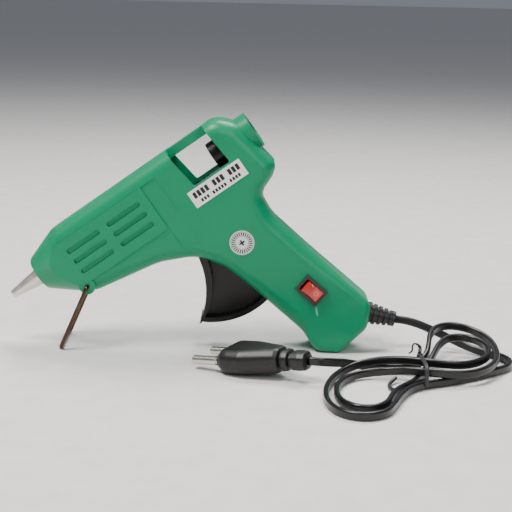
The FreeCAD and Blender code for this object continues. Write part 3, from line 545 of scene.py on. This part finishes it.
@dataclass(frozen=True)
class RoundPrint(Finish):
    """A round print: rings about its middle, ticks in a band between them, and plain bars inside."""

    ink: Colour = (0.0, 0.0, 0.0)
    rings: tuple[tuple[float, float], ...] = ((6.1, 0.18), (3.6, 0.16))
    ticks: int = 26
    tick_ring: tuple[float, float] = (4.85, 0.95)
    marks: tuple[tuple[float, float, float, float], ...] = ((0.0, 0.0, 0.55, 1.8), (0.0, 0.0, 1.8, 0.55))

    def paint(self, tree: bpy.types.NodeTree, effects: "Effects",
              base: bpy.types.NodeSocket) -> bpy.types.NodeSocket:
        """Adds the rings, then ticks where the sine of the turn times their number is high.

        Args:
            tree: the material's tree.
            effects: the shared node groups.
            base: the sticker's own colour.

        Returns:
            The sticker's colour with its print.
        """
        place = self.place(tree)
        for radius, half in self.rings:
            ring = effects.put(tree, effects.ring, **{"Place": place, "Radius": radius * MM,
                                                      "Half Width": half * MM})
            base = self.mix(tree, ring.outputs["Mask"], base, self.ink)
        if self.ticks:
            band = effects.put(tree, effects.ring, **{"Place": place, "Radius": self.tick_ring[0] * MM,
                                                      "Half Width": self.tick_ring[1] * MM})
            turn = math_node(tree, "SINE", math_node(tree, "MULTIPLY", band.outputs["Angle"],
                                                     float(self.ticks)))
            tick = math_node(tree, "GREATER_THAN", turn, -0.25)
            share = math_node(tree, "MULTIPLY", band.outputs["Mask"], tick)
            base = self.mix(tree, share, base, self.ink)
        for across, up, wide, high in self.marks:
            bar = effects.put(tree, effects.bar, **{"Place": place, "Across": across * MM, "Up": up * MM,
                                                    "Half Width": wide * MM, "Half Height": high * MM})
            base = self.mix(tree, bar.outputs["Mask"], base, self.ink)
        return base


@dataclass
class Effects:
    """The shared node groups."""

    grain: bpy.types.NodeTree = field(default_factory=make_grain)
    wear: bpy.types.NodeTree = field(default_factory=make_wear)
    bar: bpy.types.NodeTree = field(default_factory=make_bar)
    ring: bpy.types.NodeTree = field(default_factory=make_ring)

    def put(self, tree: bpy.types.NodeTree, group: bpy.types.NodeTree, **inputs: object) -> bpy.types.Node:
        """Places a group in a material.

        Args:
            tree: the material's tree.
            group: the group.
            inputs: a socket or a plain value for each of its inputs, by name.

        Returns:
            The group's node.
        """
        node = tree.nodes.new("ShaderNodeGroup")
        node.node_tree = group
        for name, value in inputs.items():
            if isinstance(value, bpy.types.NodeSocket):
                tree.links.new(value, node.inputs[name])
            else:
                node.inputs[name].default_value = value
        return node


def in_metres(point: np.ndarray) -> tuple[float, float, float]:
    """A numpy point as three plain numbers."""
    return tuple(float(value) for value in point)


GREEN = Finish("green_shell", (0.0, 0.215, 0.092), (0.0, 0.245, 0.105), roughness=0.34, patchiness=0.10,
               grain_scale=1900.0, grain=0.16, wear=0.06, wear_tone=(0.03, 0.40, 0.22), specular=0.3)
BLACK = Finish("black_moulding", (0.0025, 0.0022, 0.0022), (0.005, 0.0046, 0.0042), roughness=0.32,
               specular=0.3,
               grain_scale=1500.0, grain=0.1, wear=0.25, wear_tone=(0.07, 0.07, 0.065), coat=0.1)
BEZEL = Finish("switch_bezel", (0.02, 0.016, 0.015), (0.03, 0.024, 0.022), roughness=0.34,
               grain_scale=2600.0, grain=0.06, wear=0.15, wear_tone=(0.1, 0.09, 0.09))
CAST = Finish("cast_aluminium", (0.74, 0.69, 0.62), (0.82, 0.78, 0.71), Look.METAL, roughness=0.42,
              patchiness=0.22, grain_scale=900.0, grain=0.22, wear=0.5, wear_tone=(0.42, 0.36, 0.30),
              stretch=(0.25, 1.0, 1.0))
STEEL = Finish("plated_steel", (0.5, 0.5, 0.5), (0.62, 0.62, 0.6), Look.METAL, roughness=0.28,
               patchiness=0.2, grain_scale=1600.0, grain=0.08, wear=0.3, wear_tone=(0.3, 0.28, 0.26))
WIRE = Finish("stand_wire", (0.065, 0.033, 0.02), (0.13, 0.08, 0.055), Look.METAL, roughness=0.34,
              patchiness=0.25, grain_scale=1200.0, grain=0.12, wear=0.4, wear_tone=(0.34, 0.27, 0.22))
BRASS = Finish("stamped_brass", (0.62, 0.43, 0.16), (0.7, 0.52, 0.24), Look.METAL, roughness=0.3,
               grain_scale=1400.0, grain=0.08, wear=0.4, wear_tone=(0.35, 0.25, 0.12))
NICKEL = Finish("nickel_pin", (0.66, 0.6, 0.53), (0.74, 0.69, 0.62), Look.METAL, roughness=0.22,
                patchiness=0.12, grain_scale=900.0, grain=0.05, wear=0.25, wear_tone=(0.45, 0.4, 0.34),
                turn=0.0)
SILICONE = Finish("heat_sleeve", (0.42, 0.10, 0.05), (0.5, 0.14, 0.08), Look.RUBBER, roughness=0.55,
                  grain_scale=1300.0, grain=0.2, wear=0.1)
CERAMIC = Finish("heater_block", (0.75, 0.73, 0.68), (0.62, 0.60, 0.55), roughness=0.6,
                 grain_scale=1100.0, grain=0.3, wear=0.2)
RUBBER = Finish("soft_black", (0.0025, 0.0024, 0.0024), (0.005, 0.0048, 0.0045), Look.RUBBER, roughness=0.42,
                grain_scale=1500.0, grain=0.14, wear=0.2, wear_tone=(0.06, 0.058, 0.055), turn=0.0)
PLUG = Finish("plug_moulding", (0.0025, 0.0024, 0.0022), (0.005, 0.0048, 0.0045), Look.RUBBER, roughness=0.42,
              grain_scale=1300.0, grain=0.22, wear=0.3, wear_tone=(0.08, 0.076, 0.07), turn=0.0)
CORD = Finish("cord_sheath", (0.0018, 0.0018, 0.0024), (0.004, 0.004, 0.005), Look.RUBBER, roughness=0.3,
              patchiness=0.14, grain_scale=700.0, grain=0.10, wear=0.15, wear_tone=(0.05, 0.05, 0.055),
              turn=0.0)
TIE = Finish("tie_coating", (0.012, 0.012, 0.012), (0.03, 0.03, 0.03), Look.RUBBER, roughness=0.4,
             grain_scale=1800.0, grain=0.12, wear=0.3, wear_tone=(0.1, 0.1, 0.1), turn=0.0)
LIVE = Finish("live_insulation", (0.32, 0.10, 0.04), (0.38, 0.13, 0.06), Look.RUBBER, roughness=0.4,
              grain_scale=1500.0, grain=0.08, wear=0.1)
NEUTRAL = Finish("neutral_insulation", (0.04, 0.11, 0.42), (0.06, 0.15, 0.5), Look.RUBBER, roughness=0.4,
                 grain_scale=1500.0, grain=0.08, wear=0.1)
FLASH = Finish("parting_flash", (0.07, 0.5, 0.33), (0.10, 0.58, 0.40), roughness=0.35,
               grain_scale=2600.0, grain=0.1, wear=0.05)
FILM = PrintedPlate("label_film", (0.80, 0.77, 0.74), (0.86, 0.84, 0.81), roughness=0.32, patchiness=0.08,
                    grain_scale=900.0, grain=0.05, wear=0.06, wear_tone=(0.55, 0.52, 0.5),
                    centre=in_metres(from_gun(114.6, -15.1, -11.9)),
                    ink=(0.0, 0.0, 0.0),
                    bars=tuple((-13.9 + 2.52 * i, 1.6, 1.0, 1.8) for i in range(12) if i not in (4, 8))
                    + tuple((-11.9 + 1.86 * i, -2.6, 0.7, 1.0) for i in range(14) if i not in (3, 9)))
STICKER = RoundPrint("round_print", (0.66, 0.68, 0.66), (0.74, 0.76, 0.74), roughness=0.35,
                     patchiness=0.08, grain_scale=900.0, grain=0.05, wear=0.08,
                     centre=in_metres(from_gun(106.7, -15.1, -46.1)))
RED = RoundPrint("rocker_red", (0.62, 0.018, 0.008), (0.72, 0.03, 0.014), roughness=0.22, patchiness=0.06,
                 grain_scale=1500.0, grain=0.04, wear=0.1, wear_tone=(0.85, 0.25, 0.2), coat=0.5,
                 soft_depth=0.15, centre=in_metres(from_gun(124.1, -15.0, -92.4)), turn=LEAN - 0.243,
                 ink=(0.9, 0.75, 0.7), rings=((1.15, 0.13),), ticks=0, marks=((-0.1, 5.2, 0.22, 1.1),))

NODE_FINISH: dict[str, Finish] = {
    "left_housing": GREEN, "right_housing": GREEN, "housing_screws": STEEL, "nozzle": CAST,
    "nozzle_washer": SILICONE, "heating_chamber": CAST, "ptc_heater": CERAMIC, "heater_clip": STEEL,
    "inlet_sleeve": SILICONE, "sleeve_clamp": STEEL, "carriage": BLACK, "drive_pin": STEEL,
    "gripper_pin": STEEL, "gripper": BLACK, "trigger": BLACK, "trigger_pivot_pin": STEEL,
    "return_spring": STEEL, "wire_stand": WIRE, "switch_frame": BEZEL, "rocker": RED,
    "switch_terminals": BRASS, "label": FILM, "round_sticker": STICKER, "strain_relief": RUBBER,
    "cord_clamp": BLACK, "clamp_screws": STEEL, "live_lead": LIVE, "neutral_lead": NEUTRAL,
    "plug_pins": NICKEL,
}


@dataclass
class Workshop:
    """Makes each finish once and dresses pieces in it."""

    effects: Effects = field(default_factory=Effects)
    made: dict[str, bpy.types.Material] = field(default_factory=dict)

    def finish(self, finish: Finish) -> bpy.types.Material:
        """The finish's material, built the first time it is asked for."""
        if finish.name not in self.made:
            self.made[finish.name] = finish.make(self.effects)
        return self.made[finish.name]

    def dress(self, piece: bpy.types.Object, finish: Finish) -> None:
        """Gives every slot of a piece one finish.

        Args:
            piece: a mesh object.
            finish: what it is dressed in.
        """
        if not piece.material_slots:
            piece.data.materials.append(None)
        for slot in piece.material_slots:
            slot.material = self.finish(finish)


# ---------------------------------------------------------------- sub-assemblies

@dataclass
class Gun:
    """The gun's own parts, whose shapes come from the frame."""

    flash_from: tuple[float, float] = (120.0, -98.4)
    flash_to: tuple[float, float] = (117.4, -104.0)
    flash_radius: float = 0.75
    side: float = -14.75

    def dress(self, workshop: Workshop) -> None:
        """Dresses every carried-over node.

        Args:
            workshop: where the finishes come from.
        """
        for name, finish in NODE_FINISH.items():
            workshop.dress(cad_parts[name], finish)
            LOG.info("dressed %s in %s", name, finish.name)

    def flash_ridge(self, workshop: Workshop) -> bpy.types.Object:
        """The thin moulding ridge under the switch.

        Its middle is a straight line on the handle's side, and its radius swells as sin(pi t)^0.5.

        Args:
            workshop: where its finish comes from.

        Returns:
            The ridge, riding on the gun.
        """
        share = np.linspace(0.02, 0.98, 24)
        start, end = from_gun(self.flash_from[0], self.side, self.flash_from[1]), from_gun(
            self.flash_to[0], self.side, self.flash_to[1])
        line = start + (end - start) * share[:, None]
        swell = np.sin(math.pi * share) ** 0.5
        piece = lattice("flash_ridge", carry(line, round_outline(self.flash_radius * MM), (0, 1, 0), swell))
        workshop.dress(piece, FLASH)
        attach(piece, "gun")
        return piece


@dataclass
class MainsCord:
    """The flat twin cord from the handle, through its tied hank, to the plug."""

    width: float = 4.6
    thickness: float = 3.0
    step: float = 1.3
    route: Points = field(default_factory=lambda: [
        # from the strain relief down to the floor
        (107.6, 0, 17.0), (113, -0.05, 16.5), (120.7, -0.3, 14.6), (128.7, -0.9, 11.4), (136.7, -2, 8),
        (144.2, -5, 5), (150.7, -9.5, 3.2), (156.7, -14.5, 2.5),
        # round the far fold
        (164.2, -20.5, 2.4), (168.2, -30, 2.4), (165.2, -40.5, 2.4), (157.2, -48, 2.4),
        # low along the bundle and under the tie
        (147.7, -55.5, 2.4), (136.7, -63, 2.4), (126.7, -69, 2.4), (116.2, -73, 2.4),
        # the left lobe's outer turn
        (107.2, -81, 2.4), (101.2, -93.5, 2.4), (97.2, -106, 2.4), (92.2, -118.5, 2.4),
        (80.7, -124.5, 2.4), (69.7, -118.5, 2.4), (65, -106, 2.4), (64.2, -92, 2.4), (66.2, -78, 2.7),
        (70.7, -65.5, 3.6), (79.2, -54.5, 5), (89.7, -49, 6.6), (100.7, -49.5, 8), (109.7, -53, 9),
        (116.7, -57, 9.4),
        # on top of the bundle, then the right lobe's inner turn
        (127.7, -60, 9.2), (138.7, -59, 8.6), (148.7, -51, 8.6), (154.7, -40, 9.4), (154.5, -28, 10.8),
        (147.7, -19, 12.2), (136.7, -18.5, 12.4), (129.2, -28, 11), (124.7, -40, 8.4), (120.2, -51, 5.4),
        # crossing beneath, then the left lobe's inner turn
        (115.2, -62, 2.8), (108.7, -73.5, 2.4), (101.7, -82, 2.4), (97.2, -92, 2.4), (94.7, -102.5, 2.4),
        (88.7, -111.5, 2.4), (78.7, -112.5, 2.4), (71.7, -104, 2.4), (69.7, -92, 2.4), (70.7, -80, 2.4),
        (74.7, -69, 2.5), (81.7, -61, 2.9), (91.7, -57.5, 3.6), (101.7, -59.5, 5.2), (109.7, -64, 6.8),
        (117.2, -67.5, 7.1),
        # along the bundle's near side, then the right lobe's outer turn
        (127.7, -69, 6.9), (139.7, -67.5, 6.4), (150.7, -59, 6.8), (157.7, -46, 7.6), (159.7, -32, 9.4),
        (157.7, -19, 11.8), (150.2, -9.5, 14.2), (139.7, -6.5, 15.8), (130.2, -10.5, 15.6),
        (124.9, -20, 13.8), (123.2, -31, 11), (120.7, -41, 7.8),
        # behind the bundle and past the left lobe to the plug
        (114.2, -48.5, 5), (104.7, -50, 3), (91.7, -45, 2.6), (82.2, -50.5, 5.2), (75.7, -56.5, 7.9),
        (68.7, -66, 10.8), (62.2, -69.5, 12.2), (56.7, -67.2, 11.8)])

    def build(self, workshop: Workshop, on_it: list[bpy.types.Object]) -> bpy.types.Object:
        """Args:
            workshop: where its finish comes from.
            on_it: the pieces that belong to the cord; not used.

        Returns:
            The cord, riding on the gun.
        """
        line = smooth_line("cord_line", self.route, self.step * MM)
        rings = carry(line, twin_outline(self.width * MM, self.thickness * MM), (0, 0, 1))
        piece = lattice("mains_cord", rings)
        workshop.dress(piece, CORD)
        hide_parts("cord_lead", "cord_tail", "cord_hank")
        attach(piece, "gun")
        LOG.info("cord of %.3f m", length_of(line))
        return piece


@dataclass
class Plug:
    """The plug's moulding: a chamfered flat body that narrows to the cord, a waist and an end block."""

    at: tuple[float, float, float] = (14.3, -44.7, 6.5)
    yaw: float = 27.9
    pitch: float = 6.3
    chamfer: float = 3.6
    stations: Points = field(default_factory=lambda: [
        # along, half width, half height
        (0, 10.4, 2.7), (0.4, 11.4, 3.3), (3.3, 13.6, 6.3), (4.4, 14.0, 6.7), (7, 14.4, 6.7), (14, 14.4, 6.7),
        (17, 13.6, 6.7), (31.5, 8.5, 6.6), (33.3, 7.6, 6.1),
        # two notches, then the end block
        (33.7, 4.8, 4.5), (35.3, 4.8, 4.5), (35.7, 6.9, 5.5), (38.1, 6.4, 5.2), (38.5, 4.0, 3.4),
        (40.1, 4.0, 3.4), (40.5, 5.9, 4.8), (44, 6.0, 4.95), (47.5, 5.6, 4.7), (48.2, 4.8, 3.9)])

    def outline(self, wide: float, high: float) -> np.ndarray:
        """A box section with chamfered corners, its edges softened.

        Args:
            wide: half its width.
            high: half its height.

        Returns:
            PLUG_POINTS points: the chamfered box's outline, averaged three times with its neighbours.
        """
        less = min(self.chamfer, 0.55 * min(wide, high))
        shape = [(wide, less - high), (wide, high - less), (wide - less, high), (less - wide, high),
                 (-wide, high - less), (-wide, less - high), (less - wide, -high), (wide - less, -high)]
        knots = np.array(shape + shape[:1])
        gone = np.concatenate([[0], np.cumsum(np.linalg.norm(np.diff(knots, axis=0), axis=1))])
        even = np.linspace(0, gone[-1], PLUG_POINTS, endpoint=False)
        points = np.stack([np.interp(even, gone, knots[:, axis]) for axis in range(2)], axis=1)
        for _ in range(3):
            points = (np.roll(points, 1, axis=0) + 2 * points + np.roll(points, -1, axis=0)) / 4
        return points

    def build(self, workshop: Workshop) -> bpy.types.Object:
        """Carries the section along the plug: at + way * s + across * u + up * v.

        Args:
            workshop: where its finish comes from.

        Returns:
            The plug's body, riding on the gun.
        """
        yaw, pitch = math.radians(self.yaw), math.radians(self.pitch)
        way = np.array([math.cos(yaw) * math.cos(pitch), -math.sin(yaw) * math.cos(pitch), math.sin(pitch)])
        across = np.array([math.sin(yaw), math.cos(yaw), 0.0])
        upward = np.cross(way, across)
        knots = np.array(self.stations)
        along = np.unique(np.concatenate([np.linspace(0, knots[-1, 0], 110), knots[:, 0]]))
        wide, high = np.interp(along, knots[:, 0], knots[:, 1]), np.interp(along, knots[:, 0], knots[:, 2])
        rings = np.array([np.array(self.at) + s * way + self.outline(w, h) @ np.array([across, upward])
                          for s, w, h in zip(along, wide, high)])
        piece = lattice("plug_moulding", rings * MM)
        workshop.dress(piece, PLUG)
        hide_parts("plug_body")
        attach(piece, "gun")
        return piece


@dataclass
class TwistTie:
    """The coated wire around the hank: two wraps, and a twisted pair of ends that stands up."""

    wire: float = 0.75
    at: float = 116.3
    spread: float = 1.5
    low: float = 0.85
    wraps: tuple[float, float, float] = (-75.9, -45.2, 12.7)
    ends: Points = field(default_factory=lambda: [
        (115.9, -54, 12.0), (114.9, -53, 13.2), (115.6, -52.4, 14.4), (115.4, -52, 16.2), (114.1, -52, 17.5),
        (112.5, -52, 17.9), (111.3, -52.2, 16.8), (111.6, -52.6, 15), (111, -53, 13.4), (109.5, -53.2, 12.8)])
    loop: Points = field(default_factory=lambda: [
        (102.2, -64.5, 3.0), (98.9, -68, 1.4), (97.5, -73.5, 1.2), (98.9, -79, 1.2), (102.3, -80.5, 1.2),
        (104.9, -77.5, 1.2), (105.3, -72, 1.6)])

    def wrap_line(self) -> np.ndarray:
        """Two turns of a rounded box around the bundle, which creep along it.

        Returns:
            Points whose y and z are (cos t, sin t) raised to the power 0.4 with their signs kept, and
            whose x creeps evenly from one side to the other.
        """
        near, far, top = self.wraps
        turn = np.linspace(0, 4 * math.pi, 160)

        def squared(value: np.ndarray) -> np.ndarray:
            """Bends a circle's sine or cosine towards a rounded box."""
            return np.sign(value) * np.abs(value) ** 0.4

        along = self.at - self.spread / 2 + self.spread * turn / turn[-1]
        across = (near + far) / 2 + (far - near) / 2 * squared(np.cos(turn))
        middle, half = (top + self.low) / 2, (top - self.low) / 2
        hump = 1 - 0.22 * (across - near) / (far - near) * (squared(np.sin(turn)) > 0)
        return np.stack([along, across, middle + half * squared(np.sin(turn)) * hump], axis=1) * MM

    def build(self, workshop: Workshop) -> bpy.types.Object:
        """Makes the wraps, the twisted ends and the lower loop as one piece.

        Args:
            workshop: where its finish comes from.

        Returns:
            The tie, riding on the gun.
        """
        outline = round_outline(self.wire * MM, 10)
        parts = [lattice("tie_wraps", carry(self.wrap_line(), outline, (1, 0, 0)))]
        middle = smooth_line("tie_end_line", self.ends, 0.0005)
        turn = np.linspace(0, 9 * math.pi, len(middle))
        fade = 0.75 * MM * np.clip(1.6 - 2.4 * np.linspace(0, 1, len(middle)), 0, 1)
        for side in (1, -1):
            swing = np.stack([side * fade * np.cos(turn), side * fade * np.sin(turn),
                              np.zeros_like(turn)], axis=1)
            cut = len(middle) if side > 0 else int(0.5 * len(middle))
            parts.append(lattice("tie_end", carry((middle + swing)[:cut], 0.62 * outline, (0, 1, 0))))
        loop = smooth_line("tie_loop_line", self.loop, 0.0006)
        parts.append(lattice("tie_loop", carry(loop, 1.3 * outline, (0, 0, 1))))
        piece = join("hank_tie", parts)
        workshop.dress(piece, TIE)
        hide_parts("twist_tie")
        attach(piece, "gun")
        return piece


def join(name: str, parts: list[bpy.types.Object]) -> bpy.types.Object:
    """Joins meshes into one object.

    Args:
        name: the joined object's name.
        parts: the objects, which are used up.

    Returns:
        The first of them, holding all their faces.
    """
    bpy.ops.object.select_all(action="DESELECT")
    for part in parts:
        part.select_set(True)
    bpy.context.view_layer.objects.active = parts[0]
    bpy.ops.object.join()
    parts[0].name = parts[0].data.name = name
    return parts[0]


# ---------------------------------------------------------------- studio

@dataclass
class Studio:
    """A pale floor, three soft lights and the camera."""

    camera_at: tuple[float, float, float] = (0.02876, -0.65735, 0.19286)
    pitch: float = 12.13
    roll: float = 1.234
    lens: float = 84.62
    floor_size: float = 80.0

    def floor(self, workshop: Workshop) -> None:
        """Lays a plain pale floor with a faint mottle."""
        half = self.floor_size / 2
        mesh = bpy.data.meshes.new("floor")
        mesh.from_pydata([(-half, -half, 0), (half, -half, 0), (half, half, 0), (-half, half, 0)], [],
                         [(0, 1, 2, 3)])
        piece = bpy.data.objects.new("floor", mesh)
        bpy.context.scene.collection.objects.link(piece)
        workshop.dress(piece, Finish("pale_floor", (0.66, 0.635, 0.60), (0.80, 0.78, 0.75), roughness=0.8,
                                     grain_scale=900.0, grain=0.35, wear=0.05, turn=0.0,
                                     wear_tone=(0.5, 0.49, 0.47)))

    def light(self, name: str, at: tuple[float, float, float], target: tuple[float, float, float],
              size: float, power: float, tint: Colour = (1.0, 1.0, 1.0)) -> None:
        """Adds a square area light.

        Args:
            name: its name.
            at: where it hangs.
            target: where it points.
            size: its side in metres.
            power: its watts.
            tint: its colour.
        """
        data = bpy.data.lights.new(name, "AREA")
        data.size, data.energy, data.color = size, power, tint
        lamp = bpy.data.objects.new(name, data)
        lamp.location = at
        lamp.rotation_euler = (Vector(target) - Vector(at)).to_track_quat("-Z", "Y").to_euler()
        bpy.context.scene.collection.objects.link(lamp)

    def build(self, workshop: Workshop) -> None:
        """Sets up the floor, the lights, the sky and the camera.

        Args:
            workshop: where the floor's finish comes from.
        """
        self.floor(workshop)
        middle = (0.03, -0.02, 0.05)
        self.light("key", (-0.50, -0.30, 1.20), middle, 0.5, 22.0, (1.0, 0.98, 0.95))
        self.light("top", (0.25, 0.50, 1.10), middle, 0.55, 15.0)
        self.light("fill", (0.5, -1.3, 0.9), middle, 0.9, 9.0, (0.95, 0.97, 1.0))
        world = bpy.data.worlds.new("studio")
        world.use_nodes = True
        world.node_tree.nodes["Background"].inputs["Color"].default_value = (0.80, 0.86, 1.0, 1.0)
        world.node_tree.nodes["Background"].inputs["Strength"].default_value = 0.24
        bpy.context.scene.world = world
        self.camera()

    def camera(self) -> None:
        """Places the camera: it looks along +Y, pitched down and rolled a little about its own line."""
        pitch, roll = math.radians(self.pitch), math.radians(self.roll)
        right, upward = Vector((1, 0, 0)), Vector((0, math.sin(pitch), math.cos(pitch)))
        back = Vector((0, -math.cos(pitch), math.sin(pitch)))
        across = right * math.cos(roll) + upward * math.sin(roll)
        above = upward * math.cos(roll) - right * math.sin(roll)
        data = bpy.data.cameras.new("camera")
        data.lens, data.sensor_width, data.clip_start = self.lens, 36.0, 0.01
        camera = bpy.data.objects.new("camera", data)
        turn = Matrix((across, above, back)).transposed().to_4x4()
        camera.matrix_world = Matrix.Translation(self.camera_at) @ turn
        bpy.context.scene.collection.objects.link(camera)
        bpy.context.scene.camera = camera


def main() -> None:
    """Builds the parts in order; the nodes' dressing and the cord's length are logged."""
    logging.basicConfig(level=logging.INFO, format="%(name)s: %(message)s")
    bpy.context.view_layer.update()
    workshop = Workshop()
    gun = Gun()
    gun.dress(workshop)
    gun.flash_ridge(workshop)
    tie = TwistTie().build(workshop)
    plug = Plug().build(workshop)
    MainsCord().build(workshop, [tie, plug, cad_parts["plug_pins"]])
    Studio().build(workshop)


if __name__ == "__main__":
    main()
